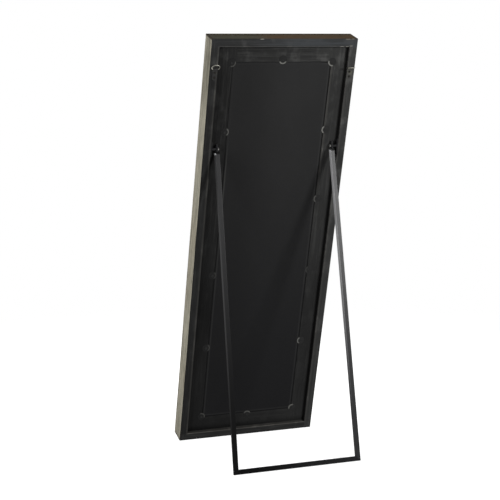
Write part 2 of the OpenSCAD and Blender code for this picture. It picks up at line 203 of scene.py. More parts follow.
class MirrorStageSetup(bpy.types.PropertyGroup):
    """Camera, floor and lamps."""

    place: bpy.props.FloatVectorProperty(
        name="Camera", description="Where the camera stands", default=(1.9613, 5.1924, 1.4557),
        subtype="TRANSLATION", unit="LENGTH", size=3
    )
    yaw: angle_property("Yaw", "Turn of the camera from straight at the back", 20.061)
    pitch: angle_property("Pitch", "How far the camera looks down", 6.325)
    roll: angle_property("Roll", "Tilt of the picture", 0.98)
    lens: value_property("Lens", "Focal length on a 36 mm wide sensor", 97.015, min=10, unit="CAMERA")
    floor: colour_property("Floor", "Pale floor", 196, 196, 196)
    radius: size_property("Floor radius", "Where the floor has faded into the background", 5.0)
    glow: value_property("Floor glow", "How far the floor shines by itself", 0.75, min=0, max=1)
    key: power_property("Key lamp", "Lamp behind, towards -X", 190)
    fill: power_property("Side lamp", "Lamp at the side, towards +X", 84)
    front: power_property("Front lamp", "Lamp in front of the glass", 110)
    over: power_property("Top lamp", "Lamp overhead", 26)
    sky: value_property("Ambient", "Light from all round", 0.16, min=0, max=1)


GROUPS = {
    "wood": MirrorWoodLook,
    "paint": MirrorPaintLook,
    "metal": MirrorMetalLook,
    "screws": MirrorScrewSizes,
    "stage": MirrorStageSetup,
}


def settings(name):
    """One of the property groups on the scene."""
    return getattr(bpy.context.scene, "mirror_" + name)


def linear(colour):
    """A screen colour as the light that a shader wants."""
    steps = [c / 12.92 if c <= 0.04045 else ((c + 0.055) / 1.055) ** 2.4 for c in colour]
    return (*steps, 1.0)


def maths(operation, swapped=False):
    """A method of Wire that adds one Math node."""

    def method(self, other=0.0):
        first, second = (other, self) if swapped else (self, other)
        return self.finish.node("ShaderNodeMath", {"operation": operation}, {0: first, 1: second})

    return method


class Wire:
    """What a node gives out. Sums and products of wires add the Math nodes that work them out."""

    def __init__(self, finish, socket):
        self.finish = finish
        self.socket = socket

    __add__ = maths("ADD")
    __radd__ = maths("ADD", True)
    __sub__ = maths("SUBTRACT")
    __rsub__ = maths("SUBTRACT", True)
    __mul__ = maths("MULTIPLY")
    __rmul__ = maths("MULTIPLY", True)
    __truediv__ = maths("DIVIDE")
    __abs__ = maths("ABSOLUTE")
    least = maths("MINIMUM")
    most = maths("MAXIMUM")

    def ease(self, low, high):
        """0 up to low, 1 from high on, and a smooth rise between."""
        spread = {"From Min": low, "From Max": high, "Value": self}
        return self.finish.node("ShaderNodeMapRange", {"interpolation_type": "SMOOTHSTEP"}, spread)


def pick(sockets, key):
    """A socket by its number, its identifier or its name."""
    if isinstance(key, int):
        return sockets[key]
    return next(s for s in sockets if key in (s.identifier, s.name))


class Finish:
    """A material or a world on its way: every method adds nodes to it."""

    def __init__(self, name, family="materials"):
        self.made = getattr(bpy.data, family).new(name)
        self.made.use_nodes = True
        self.tree = self.made.node_tree
        self.tree.nodes.clear()

    def node(self, kind, options, sockets, out=0):
        """Adds a node, sets its options, then its sockets, and gives one of its outputs as a wire."""
        made = self.tree.nodes.new(kind)
        for option, value in options.items():
            setattr(made, option, value)
        for key, value in sockets.items():
            socket = pick(made.inputs, key)
            if isinstance(value, Wire):
                self.tree.links.new(value.socket, socket)
            else:
                socket.default_value = value
        return Wire(self, pick(made.outputs, out))

    def split(self, vector):
        """The three parts of a vector."""
        first = self.node("ShaderNodeSeparateXYZ", {}, {0: vector})
        return [Wire(self, socket) for socket in first.socket.node.outputs]

    def join(self, x, y, z):
        """A vector from three parts."""
        return self.node("ShaderNodeCombineXYZ", {}, {0: x, 1: y, 2: z})

    def noise(self, vector, size, detail=2.0, rough=0.5, bend=0.0):
        """Cloudy noise with features of about a size in metres."""
        wanted = {"Vector": vector, "Scale": 1 / size, "Detail": detail}
        wanted.update({"Roughness": rough, "Distortion": bend})
        return self.node("ShaderNodeTexNoise", {}, wanted)

    def mix(self, share, below, above):
        """One colour over another, each a wire or a screen colour."""
        pair = [c if isinstance(c, Wire) else linear(c) for c in (below, above)]
        wanted = {"Factor_Float": share, "A_Color": pair[0], "B_Color": pair[1]}
        return self.node("ShaderNodeMix", {"data_type": "RGBA"}, wanted, "Result_Color")

    def bump(self, height, depth):
        """A normal that follows a height of 0 to 1, for a relief of a depth in metres."""
        return self.node("ShaderNodeBump", {}, {"Distance": depth, "Height": height})

    def shader(self, sockets):
        """Adds the surface shader and ends the material."""
        surface = self.node("ShaderNodeBsdfPrincipled", {}, sockets)
        return self.end(surface)

    def end(self, surface, output="ShaderNodeOutputMaterial"):
        """Joins the last shader to the output."""
        last = self.tree.nodes.new(output)
        self.tree.links.new(surface.socket, last.inputs["Surface"])
        return self.made

    def place(self):
        """The point on the object, which moves with the piece."""
        return self.node("ShaderNodeTexCoord", {}, {}, "Object")

    def frame_place(self):
        """Side, height along the frame and depth below its back plane."""
        x, y, z = self.split(self.place())
        up = y * math.sin(LEAN) + z * math.cos(LEAN) - FOOT
        deep = BACK - (y * math.cos(LEAN) - z * math.sin(LEAN))
        return x, up, deep


def add_object(name, data):
    """A new object in the scene."""
    made = bpy.data.objects.new(name, data)
    bpy.context.scene.collection.objects.link(made)
    return made


def dress(names, material):
    """Gives a material to CAD nodes."""
    for name in names:
        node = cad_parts[name]
        for holder in node.material_slots:
            holder.material = material


class Wood:
    """Grain of one weathered board, as wires of a finish."""

    def __init__(self, finish, across, along, depth, seed):
        look = settings("wood")
        self.finish = finish
        shifted = across + seed
        lengthwise = finish.join(shifted, depth, along * 0.045)
        self.streaks = finish.noise(lengthwise, look.streak, 3, 0.6, 0.5)
        self.fibres = finish.noise(finish.join(shifted, depth, along * 0.03), look.fibre, 3, 0.65)
        splits = finish.noise(finish.join(shifted, depth, along * 0.02), look.streak * 2.2, 2, 0.5, 0.2)
        self.checks = 1 - abs(splits - 0.5).ease(0.0, 0.013)
        self.saw = finish.noise(finish.join(across * 0.25, depth * 0.25, along + seed), 0.006, 1, 0.4)
        stretched = finish.join(shifted * 1.6, depth * 1.6, along * 0.5)
        self.blotches = finish.noise(stretched, 0.03, 4, 0.62)
        self.patches = finish.noise(finish.join(shifted, depth, along * 0.4), look.patch * 0.4, 3, 0.55)

    def colour(self, brown, wear):
        """Grey boards turning brown by a share, with checks, and pale where worn."""
        look = settings("wood")
        base = self.finish.mix(brown, look.grey, look.brown)
        tone = self.streaks.ease(0.38, 0.68)
        deep = self.finish.mix(tone * 0.34, base, look.moss)
        light = self.finish.mix(self.fibres.ease(0.52, 0.78) * 0.38, deep, look.pale)
        rubbed = self.finish.mix(wear * 0.45, light, look.pale)
        return self.finish.mix(self.checks * 0.8, rubbed, look.crack)

    def height(self):
        """Relief of the sawn and weathered surface, 0 to 1."""
        body = self.fibres * 0.45 + self.streaks * 0.3 + self.saw * 0.25
        return body - self.checks * 0.8


def second_least(first, second, third):
    """The middle one of three distances: small only where two of them are."""
    return first.least(second).most(first.most(second).least(third))


# Chips in the paint, each with its side, its height along the frame and its reach
EDGE_CHIPS = [
    (0.101, HEIGHT - 0.001, 0.011), (-0.240, HEIGHT - 0.032, 0.012), (-0.262, HEIGHT - 0.031, 0.009),
    (-0.279, HEIGHT - 0.029, 0.009), (-0.262, HEIGHT - 0.002, 0.013), (-0.284, HEIGHT - 0.001, 0.010),
    (-0.106, 0.036, 0.007),
]
RECESS_CHIPS = [(-0.213, 1.310, 0.012)]

# Share of the wood that has turned brown in patches
PATCHY = 0.2


class Woodwork:
    """The surface of a rail or board as wires: where a point lies and what covers it."""

    def __init__(self, finish, lengthwise, seed):
        paint = settings("paint")
        self.finish = finish
        self.lengthwise = lengthwise
        self.side, self.up, self.deep = finish.frame_place()
        across, along = (self.side, self.up) if lengthwise else (self.up, self.side)
        self.grain = Wood(finish, across, along, self.deep, seed)
        self.ends = self.up.least(HEIGHT - self.up)
        self.beside = abs(self.side) - INSIDE
        self.nook = 0 - self.side - INSIDE
        self.inner = self.beside.most((RAIL - self.up).most(self.up - (HEIGHT - RAIL)))
        self.inside = 1 - self.inner.ease(0.0002, 0.0006)
        self.point = finish.join(self.side, self.up, self.deep)
        cloud = finish.noise(self.point, 0.012, 3, 0.6)
        wavy = self.deep + (cloud - 0.5) * paint.ragged * 3
        self.recess = self.inside * (1 - wavy.ease(RECESS + 0.009, RECESS + 0.0095))
        self.back = 1 - wavy.ease(paint.wrap, paint.wrap + 0.0005)
        dust = finish.noise(finish.join(self.side, self.up * 0.6, self.deep), 0.05, 3, 0.6)
        self.smudge = dust.ease(0.48, 0.72)

    def chips(self, spots, flat=14.0, slim=1.0):
        """Spots where the paint has come off, drawn in by flat in height and by slim across."""
        total = 0.0
        for x, z, reach in spots:
            aside, above = self.side - x, self.up - z
            away = (aside * aside * slim + above * above * flat) / (reach * reach)
            total = (1 - away.ease(0.25, 1.0)) + total
        grains = self.finish.noise(self.point, 0.004, 2, 0.6)
        return (total * grains * 2.2).ease(0.55, 0.9)

    def dark_edges(self):
        """Darker in the frame's outer corners and along its front arris."""
        corner = self.ends.most((WIDTH / 2 - abs(self.side)).least((DEPTH - self.deep) * 0.4))
        arris = (1 - (DEPTH - self.deep).ease(0.001, 0.003)) * 0.6
        return (1 - corner.ease(0.004, 0.0072)).most(arris) * 0.9

    def bare_wood(self, brown_at):
        """Weathered wood, brown in patches, and umber up to a place where one is given."""
        look = settings("wood")
        mix = self.finish.mix
        grain = self.grain
        face = self.deep.least(DEPTH - self.deep)
        rim = second_least(WIDTH / 2 - abs(self.side), self.ends, face)
        wear = (1 - rim.ease(0.0006, 0.004)) * grain.patches.ease(0.3, 0.6) * 0.6
        brown = grain.patches.ease(0.46, 0.7) * PATCHY
        if brown_at is None:
            shown = grain.colour(brown, wear)
        else:
            brown = brown + (1 - self.side.ease(brown_at - 0.06, brown_at + 0.04)) * (1 - PATCHY)
            aged = mix(brown, look.moss, look.umber)
            aged = mix(grain.streaks.ease(0.35, 0.7) * 0.3, aged, look.crack)
            shown = mix(0.86, grain.colour(brown, wear), aged)
        shown = mix(grain.blotches.ease(0.4, 0.75) * 0.3, shown, look.moss)
        # The top fifth is darker, less so at its very end
        darker_top = self.up.ease(HEIGHT * 0.81, HEIGHT * 0.87) * 0.3
        darker_top = darker_top - self.up.ease(HEIGHT * 0.95, HEIGHT * 0.985) * 0.2
        shown = mix(darker_top, shown, look.crack)
        if self.lengthwise:
            lines = grain.streaks.ease(0.5, 0.8) * 0.3 + grain.fibres.ease(0.5, 0.8) * 0.2
            shown = mix(lines, shown, look.crack)
        return mix(self.dark_edges(), shown, look.crack)

    def dry_brushed_and_lit(self):
        """Black paint, lighter where dust and dry brushing lie on it and towards the top, with painted
        light on the -X rail's back and in the recess towards -X.
        """
        paint = settings("paint")
        grain = self.grain
        brushed = grain.streaks.ease(0.48, 0.7) * 0.7 + grain.fibres.ease(0.58, 0.8) * 0.4
        dust_and_lit_side = (self.up - HEIGHT).ease(-0.19, -0.09) * 0.34
        # Painted light: the back of the -X rail is lightened as if the key lamp fell on it.
        dust_and_lit_side = dust_and_lit_side + self.nook.ease(0.0, 0.002) * (grain.streaks * 0.9 + 0.25)
        # Painted light: the recess towards -X is lightened as if lit, but not between 0.25 and 0.65 m
        # up.
        lit = self.recess * (0 - self.side).ease(0.1, 0.2) * abs(self.up - 0.45).ease(0.2, 0.5)
        height = self.up.ease(0.2, HEIGHT) * 0.64 + 0.32
        dust_and_light = (brushed * 0.55 + self.smudge * (dust_and_lit_side + 0.35)) * height
        share = dust_and_light + dust_and_lit_side * 0.5 + lit * 0.18
        return self.finish.mix(share, paint.black, paint.dust_and_light)

    def unlit(self):
        """Share of painted shade on the paint: towards +X, low in the recess and at its foot."""
        side, up = self.side, self.up
        rim = self.inner.ease(0.0, 0.002) * (1 - self.deep.ease(0.001, 0.003))
        low = side.ease(0.05, 0.2) * up.ease(0.3, 0.6) * (1 - up.ease(0.6, 0.85)) * 0.26
        foot = (1 - (up - RAIL).ease(0.006, 0.03)) * 0.4
        return side.ease(-0.15, 0.3) * (0.42 - rim * 0.24) + self.recess * (low + foot)

    def rubbed(self):
        """Share of painted highlight along the recess's edges, the inner arrises and the rebate, broken
        up by the dust.
        """
        share = 0.0
        for height, strength in ((RAIL - 0.002, 0.75), (HEIGHT - RAIL + 0.0022, 0.4)):
            line = abs(self.up - height).most(self.beside)
            share = (1 - line.ease(0.0008, 0.003)) * strength + share
        sheet = abs(0 - self.side - (SHEET_SIDE + 0.006))
        below = (HEIGHT * 0.78 - self.up) * 0.02
        rebate = sheet.most(below.most(self.up - SHEET_TOP))
        brink = abs(self.beside - 0.004).most(self.deep - 0.001).most(RAIL - self.ends)
        share = share + (1 - rebate.ease(0.0008, 0.0075)) * 0.3
        share = share + (1 - brink.ease(0.001, 0.006)) * 0.24
        return share * (self.smudge * 0.5 + 0.5)

    def paint(self):
        """Colour of the paint with its painted shade, its casts and the painted highlights along its
        edges.
        """
        look = settings("paint")
        mix = self.finish.mix
        streaks = self.grain.streaks
        outer = 1 - self.deep.ease(0.004, 0.008)
        head = (self.up - (HEIGHT - RAIL * 1.1)).ease(0.0, 0.004) * outer
        head = head * (1 - self.side.ease(-0.08, 0.2) * 0.85)
        sill = (1 - (self.up - RAIL).ease(-0.004, -0.001)) * outer
        shadowed_wall = self.inside * self.deep.ease(0.001, 0.003)
        coat = mix(self.unlit(), self.dry_brushed_and_lit(), look.shade_black)
        coat = mix(head * (streaks.ease(0.3, 0.6) * 0.5 + 0.4), coat, look.blue)
        coat = mix(sill * (streaks.ease(0.3, 0.7) * 0.32 + 0.03), coat, look.dust_and_light)
        coat = mix(self.rubbed(), coat, look.arris_highlight)
        # Painted shade: the inner face of the -X rail's recess is made near black, as if in shadow.
        return mix(shadowed_wall * self.nook.ease(-0.009, -0.001) * 0.9, coat, look.shade_black)


def board_material(name, lengthwise, seed, brown_at=None):
    """Weathered wood outside and flat black paint on the back and in the recess."""
    finish = Finish(name)
    board = Woodwork(finish, lengthwise, seed)
    painted = board.back.most(board.recess)
    dulled = (board.up - (HEIGHT - 0.012)).ease(0.0, 0.003) * (1 - board.side.ease(-0.2, -0.1)) * 0.5
    chipped = board.chips(EDGE_CHIPS) * board.back * (1 - dulled)
    scuffed = board.chips(RECESS_CHIPS, 1.0, 30.0) * board.recess * 0.3
    shown = finish.mix(painted * (1 - chipped), board.bare_wood(brown_at), board.paint())
    shown = finish.mix(chipped + scuffed, shown, settings("paint").bare)
    return finish.shader({
        "Base Color": shown,
        "Roughness": 0.74 + (board.grain.fibres * 0.2 + painted * 0.04),
        "Specular IOR Level": 0.03,
        "Normal": finish.bump(board.grain.height() * (1 - painted * 0.45), 0.0011),
    })


def backing_material():
    """Smooth sheet under thin black paint, with painted light towards the top, painted shade towards +X
    and low down, and a painted highlight and painted shade along its edge.
    """
    paint = settings("paint")
    finish = Finish("backing_black")
    side, up, deep = finish.frame_place()
    clouds = finish.noise(finish.join(side, up * 0.5, deep), 0.16, 4, 0.6)
    mottle = finish.noise(finish.join(side, up, deep), 0.009, 3, 0.6)
    # Painted light: lighter towards the top, broken up by real clouds and mottling.
    share = up.ease(0.1, HEIGHT) * (clouds * 0.7 + 0.65) * 0.2 + mottle.ease(0.5, 0.8) * 0.04
    border = (SHEET_SIDE - abs(side)).least((up - SHEET_LOW).least(SHEET_TOP - up))
    colour = finish.mix(share, paint.board, paint.dust_and_light)
    # Painted shade towards +X and low down.
    shaded = side.ease(-0.06, 0.16) * up.ease(0.0, 0.3) * 0.36
    colour = finish.mix(shaded, colour, paint.shade_black)
    plain = up.ease(1.25, 1.38) * side.ease(-0.19, -0.15)
    # Painted highlight: a light line just inside the sheet's edge, stronger on the +X side near 1.16 m
    # up.
    bright = side.ease(0.1, 0.15) * (1 - abs(up - 1.16).ease(0.12, 0.24)) * 0.2 + 0.16
    highlight_line = (1 - abs(border - 0.007).ease(0.001, 0.004)) * (1 - plain * 0.8)
    colour = finish.mix(highlight_line * bright, colour, paint.dust_and_light)
    # Painted shade along the sheet's very edge.
    gap_shade = (1 - border.ease(0.0022, 0.004)) * (up.ease(HEIGHT * 0.25, HEIGHT * 0.7) * 0.5 + 0.3)
    gap_shade = gap_shade * (1 - plain)
    colour = finish.mix(gap_shade, colour, paint.shade_black)
    return finish.shader({
        "Base Color": colour,
        "Roughness": 0.55 + mottle * 0.12,
        "Specular IOR Level": 0.05,
        "Normal": finish.bump(mottle * 0.6 + clouds * 0.4, 0.0003),
    })


def mirror_material():
    """Silvered glass with a faint green tint, painted on its back and its outer rim."""
    look = settings("metal")
    finish = Finish("silvered_glass")
    clouds = finish.noise(finish.place(), 0.21, 3, 0.6)
    colour = finish.mix(clouds.ease(0.4, 0.8) * 0.12, look.silver, look.haze)
    side, up, deep = finish.frame_place()
    behind = 1 - (deep - (BACK - GLASS[1].z)).ease(0.0006, 0.0009)
    rim = (abs(side) - GLASS[1].x).most((up - (GLASS[1].y - FOOT)).most(GLASS[0].y - FOOT - up))
    coated = behind.most(rim.ease(-0.003, -0.002))
    return finish.shader({
        "Base Color": finish.mix(coated, colour, settings("paint").board),
        "Metallic": 1 - coated,
        "Roughness": (clouds.ease(0.55, 0.8) * 0.02 + 0.015).most(coated * 0.7),
        "Coat Weight": (1 - coated) * 0.5,
        "Coat Roughness": 0.01,
    })


def steel_material(name, gloss, leg=None, rubbed=0.0):
    """Satin black coat with a fine orange peel and painted shade towards +X and low down; on a leg,
    painted highlights on one side and just below its top end, and painted shade at its top end.
    """
    look = settings("metal")
    shade_black = settings("paint").shade_black
    finish = Finish(name)
    point = finish.place()
    x, _, z = finish.split(point)
    peel = finish.noise(point, 0.0014, 2, 0.5)
    dust = finish.noise(point, 0.035, 4, 0.65)
    scrapes = finish.noise(point, 0.006, 4, 0.7)
    share = dust.ease(0.5, 0.8) * 0.1 + scrapes.ease(0.62, 0.74) * 0.1
    # Painted shade: darker towards +X and towards the floor.
    shade_share = x.ease(-0.25, 0.25) * (0.8 - z.ease(0.0, 1.2) * 0.5)
    shown = finish.mix(share, look.steel, look.worn)
    shown = finish.mix(shade_share, shown, shade_black)
    sheen = ((1 - shade_share * 1.15) * gloss).most(0.01) * (1.1 - dust * 0.2)
    if leg:
        side, mouth_shade, dab_highlight = leg_masks(leg, x, z, scrapes)
        # Painted highlights on one side and below the top end, and painted shade at the top end.
        shown = finish.mix(side * rubbed, shown, look.rubbed)
        shown = finish.mix(mouth_shade, shown, shade_black)
        shown = finish.mix(dab_highlight, shown, look.rubbed)
        sheen = sheen * (1 - mouth_shade)
    return finish.shader({
        "Base Color": shown,
        "Roughness": 0.45 + dust * 0.1,
        "Specular IOR Level": 0.0,
        "Coat Weight": sheen,
        "Coat Roughness": 0.32,
        "Normal": finish.bump(peel * 0.7 + scrapes * 0.3, 0.00012),
    })


def leg_masks(leg, x, z, scrapes):
    """Where a leg gets a painted highlight along one side, painted shade at its top end, and a painted
    highlight in a spot below that.
    """
    spots = [v.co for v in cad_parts[leg].data.vertices]
    foot_z, mouth_z = [corner.z for corner in corners(spots)]
    low, high = ring_middle(spots, foot_z), ring_middle(spots, mouth_z)
    slant = (high.x - low.x) / (high.z - low.z)
    across = x - ((z - low.z) * slant + low.x)
    # Painted highlight on the leg's +X side face.
    side = across.ease(0.0068, 0.0082) * z.ease(0.05, 0.95) * (scrapes * 0.2 + 0.75)
    # Painted shade at the open top end of the tube.
    mouth_shade = z.ease(mouth_z - 0.012, mouth_z - 0.006) * 0.9
    # Painted highlight in a small spot just below that.
    dab_highlight = across.ease(0.0055, 0.0075) * z.ease(mouth_z - 0.014, mouth_z - 0.011)
    dab_highlight = dab_highlight * (1 - z.ease(mouth_z - 0.007, mouth_z - 0.005)) * 0.8
    return side, mouth_shade, dab_highlight


def ring_middle(spots, height):
    """Middle of a leg's points that are near a height."""
    low, high = corners([spot for spot in spots if abs(spot.z - height) < 0.06])
    return (low + high) / 2


def sooty_material():
    """Flat black of the pivots, which catches little light."""
    look = settings("metal")
    finish = Finish("pivot_black")
    grit = finish.noise(finish.place(), 0.0012, 3, 0.6)
    return finish.shader({
        "Base Color": finish.mix(grit.ease(0.5, 0.8) * 0.12, look.soot, look.worn),
        "Roughness": 0.6 + grit * 0.15,
        "Specular IOR Level": 0.12,
        "Normal": finish.bump(grit, 0.00008),
    })


def bare_metal(name, colour, dark, rough, grain):
    """Plated metal with fine scratches, and with tarnish in patches up to a share of dark."""
    finish = Finish(name)
    point = finish.place()
    tarnish = finish.noise(point, 0.006, 4, 0.65)
    fine = finish.noise(point, 0.0006, 3, 0.6)
    tarnished = [channel * 0.42 for channel in colour]
    shown = finish.mix(tarnish.ease(0.42, 0.72) * dark, colour, tarnished)
    return finish.shader({
        "Base Color": shown,
        "Metallic": 0.9,
        "Roughness": rough + tarnish * 0.2,
        "Normal": finish.bump(fine * 0.6 + tarnish * 0.4, grain),
    })


def strap_material():
    """Dull plated strap with paint specks from the frame's coat, and painted shade on the strap towards
    +X.
    """
    look = settings("metal")
    finish = Finish("strap_plating")
    point = finish.place()
    specks = finish.noise(point, 0.0035, 4, 0.7)
    stain = finish.noise(point, 0.014, 3, 0.6)
    side = finish.frame_place()[0]
    base = finish.mix(stain.ease(0.4, 0.7) * 0.7, look.strap, look.stain)
    shown = finish.mix(specks.ease(0.52, 0.66) * 0.75, base, look.speck)
    # Painted shade: the strap towards +X is darkened.
    shown = finish.mix(side.ease(-0.1, 0.1) * 0.86, shown, settings("paint").shade_black)
    return finish.shader({
        "Base Color": shown,
        "Metallic": 0.2,
        "Roughness": 0.5 + specks * 0.2,
        "Specular IOR Level": 0.3,
        "Normal": finish.bump(specks, 0.0003),
    })


def washer_material():
    """Black paint over a pressed steel washer, rubbed bare on the lapping rim, with painted shade
    towards +X.
    """
    paint = settings("paint")
    look = settings("metal")
    finish = Finish("washer_paint")
    bare = finish.node("ShaderNodeAttribute", {"attribute_name": "bare"}, {}, "Fac")
    point = finish.place()
    flakes = finish.noise(point, 0.0024, 3, 0.65)
    share = (bare * (flakes * 0.5 + 0.75)).least(1.0)
    coat = finish.mix(flakes.ease(0.45, 0.75) * 0.25, paint.black, paint.dust_and_light)
    side = finish.frame_place()[0]
    # Painted shade: washers towards +X are darker.
    coat = finish.mix(side.ease(-0.3, 0.25) * 0.5 + 0.1, coat, paint.shade_black)
    return finish.shader({
        "Base Color": finish.mix(share, coat, look.rim),
        "Metallic": share * 0.35,
        "Roughness": 0.7 - share * 0.2,
        "Specular IOR Level": 0.08,
        "Normal": finish.bump(flakes, 0.00025),
    })


def painted_head_material():
    """Screw heads under the same flat paint as the boards."""
    paint = settings("paint")
    finish = Finish("painted_heads")
    flakes = finish.noise(finish.place(), 0.0012, 3, 0.65)
    return finish.shader({
        "Base Color": finish.mix(flakes.ease(0.5, 0.8) * 0.5, paint.black, paint.dust_and_light),
        "Roughness": 0.66 + flakes * 0.1,
        "Specular IOR Level": 0.08,
        "Normal": finish.bump(flakes, 0.0001),
    })


SHARP_ANGLE = math.radians(32)


class Shape:
    """Points and faces of one new piece, gathered from revolved solids."""

    def __init__(self):
        self.points = []
        self.faces = []
        self.bare = []

    def revolve(self, rings, matrix, bare=None):
        """Adds a solid of rings, each a list of points or one point. Gives its first point."""
        starts = []
        for ring in rings:
            starts.append((len(self.points), len(ring)))
            for point in ring:
                self.points.append(matrix @ point)
                self.bare.append(bare(point) if bare else 0.0)
        for low, high in zip(starts, starts[1:]):
            self.band(*low, *high)
        return starts[0][0]

    def band(self, low, low_count, high, high_count):
        """Faces between two rings, each given by its first point and its count of points."""
        count = max(low_count, high_count)
        for turn in range(count):
            after = (turn + 1) % count
            if low_count == 1:
                self.faces.append((low, high + after, high + turn))
            elif high_count == 1:
                self.faces.append((low + turn, low + after, high))
            else:
                self.faces.append((low + turn, low + after, high + after, high + turn))

    def make(self, name, material):
        """The finished object."""
        mesh = bpy.data.meshes.new(name)
        mesh.from_pydata([tuple(p) for p in self.points], [], self.faces)
        mesh.update()
        mesh.materials.append(material)
        mesh.polygons.foreach_set("use_smooth", [True] * len(mesh.polygons))
        mesh.set_sharp_from_angle(angle=SHARP_ANGLE)
        layer = mesh.attributes.new("bare", "FLOAT", "POINT")
        layer.data.foreach_set("value", self.bare)
        return add_object(name, mesh)


def solids_of(node):
    """The separate solids of a CAD node, each as the list of its points."""
    work = bmesh.new()
    work.from_mesh(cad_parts[node].data)
    bmesh.ops.remove_doubles(work, verts=work.verts, dist=1e-6)
    left = set(work.verts)
    groups = []
    while left:
        edge = [left.pop()]
        group = []
        while edge:
            vertex = edge.pop()
            group.append(vertex.co.copy())
            for link in vertex.link_edges:
                other = link.other_vert(vertex)
                if other in left:
                    left.remove(other)
                    edge.append(other)
        groups.append(group)
    work.free()
    return sorted(groups, key=lambda g: tuple(round(c, 4) for c in sum(g, Vector()) / len(g)))


def clamp(value):
    """The value held between 0 and 1."""
    return max(0.0, min(1.0, value))


def off_axis(point, middle, outward):
    """Distance of a point from the axis through a middle."""
    away = point - middle
    return (away - outward * away.dot(outward)).length


def seat(points, outward):
    """Middle of a turned solid, its lowest and highest reach along its own axis, and its radius."""
    low, high = corners(points)
    middle = (low + high) / 2
    reach = [(p - middle).dot(outward) for p in points]
    radius = max(off_axis(p, middle, outward) for p in points)
    return middle, min(reach), max(reach), radius


def around(radius, turns):
    """Pairs of a circle's points."""
    angles = [turn * math.tau / turns for turn in range(turns)]
    return [(radius * math.cos(angle), radius * math.sin(angle)) for angle in angles]


# Points round a screw and a washer, rings in one turn of thread and in a head's dome
SCREW_TURNS = 32
WASHER_TURNS = 64
RINGS_PER_PITCH = 5
DOME_RINGS = 13

# Height of a screw's head, and radius of a washer's hole
HEAD_HEIGHT = 0.0022
WASHER_HOLE = 0.0022


def thread_ring(z, shank, length, pitch):
    """One ring of a screw's shank: a thread that runs out to a point, and plain under the head."""
    taper = min(1.0, (z + length) / (shank * 1.6))
    ring = []
    for turn, (x, y) in enumerate(around(1, SCREW_TURNS)):
        phase = (z / pitch - turn / SCREW_TURNS) % 1.0
        crest = max(0.0, 1 - abs(phase - 0.5) * 3.2)
        radius = taper * (shank * 0.72 + shank * 0.27 * crest)
        if z > -length * 0.18:
            radius = shank * 0.93
        ring.append(Vector((radius * x, radius * y, z)))
    return ring


def screw_rings(shank, length, head, look):
    """Rings of a pan-headed screw with a thread and a cross recess; its head's underside is at 0."""
    tall = HEAD_HEIGHT
    rings = [[Vector((0, 0, -length))]]
    steps = int(length / look.pitch * RINGS_PER_PITCH)
    for step in range(1, steps):
        z = -length + length * step / steps
        rings.append(thread_ring(z, shank, length, look.pitch))
    outline = [
        (shank, 0.0), (head * 0.985, 0.0), (head, tall * 0.1), (head, tall * 0.42),
        (head * 0.93, tall * 0.62),
    ]
    for radius, z in outline:
        rings.append([Vector((x, y, z)) for x, y in around(radius, SCREW_TURNS)])
    for step in range(DOME_RINGS, 0, -1):
        radius = head * 0.86 * step / DOME_RINGS
        dome = tall * (1 - 0.26 * (radius / head) ** 2)
        rings.append([
            Vector((x, y, dome - look.slot_depth * cross(x, y, look)))
            for x, y in around(radius, SCREW_TURNS)
        ])
    rings.append([Vector((0, 0, tall - look.slot_depth * 1.15))])
    return rings


def cross(x, y, look):
    """1 inside the cross recess of a screw head, with sloped walls."""
    side_slope = 0.0002
    end_slope = 0.0006

    def arm(short, long):
        inside = (look.slot_width / 2 - abs(short)) / side_slope
        within = (look.slot_length / 2 - abs(long)) / end_slope
        return clamp(inside + 0.5) * clamp(within)

    return max(arm(x, y), arm(y, x))


def put_in_place(piece, node):
    """Lets a new piece stand for a CAD node of the frame."""
    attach(piece, "frame")
    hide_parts(node)


def make_screws(name, node, outward_of, material):
    """Screws with thread and recess in place of a node of plain ones."""
    look = settings("screws")
    shape = Shape()
    for number, points in enumerate(solids_of(node)):
        outward = outward_of(points)
        middle, low, high, head = seat(points, outward)
        below = [p for p in points if (p - middle).dot(outward) < high - 0.004]
        radii = [off_axis(p, middle, outward) for p in below]
        shank = max(radius for radius in radii if radius < head * 0.6)
        spin = Matrix.Rotation(0.7 + number * 1.37, 4, "Z")
        turn = outward.to_track_quat("Z", "Y").to_matrix().to_4x4()
        under = high - HEAD_HEIGHT
        base = Matrix.Translation(middle + outward * under) @ turn @ spin
        shape.revolve(screw_rings(shank, under - low, head, look), base)
    put_in_place(shape.make(name, material), node)


# How near an end of the frame a washer's worn strip turns towards the sheet's corner or edge
END_ZONE = 0.2

# How bright the rim of a washer is, by its side and its height along the frame
WASHER_WEAR = [
    (0.21, 1.68, 0.52), (0.0, 1.68, 0.95), (-0.21, 1.68, 1.0), (0.21, 1.40, 0.66), (-0.21, 1.40, 0.95),
    (0.21, 1.10, 0.4), (-0.21, 1.10, 0.62), (0.21, 0.77, 0.34), (-0.21, 0.77, 0.3), (0.21, 0.43, 0.42),
    (-0.21, 0.43, 0.8), (0.21, 0.10, 0.5), (0.0, 0.10, 0.66), (-0.21, 0.10, 0.8),
]


def washer_profile(radius, tall, bead):
    """Radius and height of a pressed washer's rings, from the hole's foot round to its top."""
    return [
        (WASHER_HOLE, 0.0), (radius - 0.0004, 0.0), (radius, 0.0003), (radius, tall * 0.34),
        (radius - 0.0003, tall * 0.4 + bead * 0.6), (radius - 0.0009, tall * 0.4 + bead),
        (radius - 0.0016, tall * 0.46 + bead * 0.5), (radius - 0.0024, tall * 0.56),
        (radius * 0.62, tall * 0.86), (0.0066, tall), (0.0052, tall), (0.0030, tall * 0.93),
        (WASHER_HOLE, tall * 0.86),
    ]


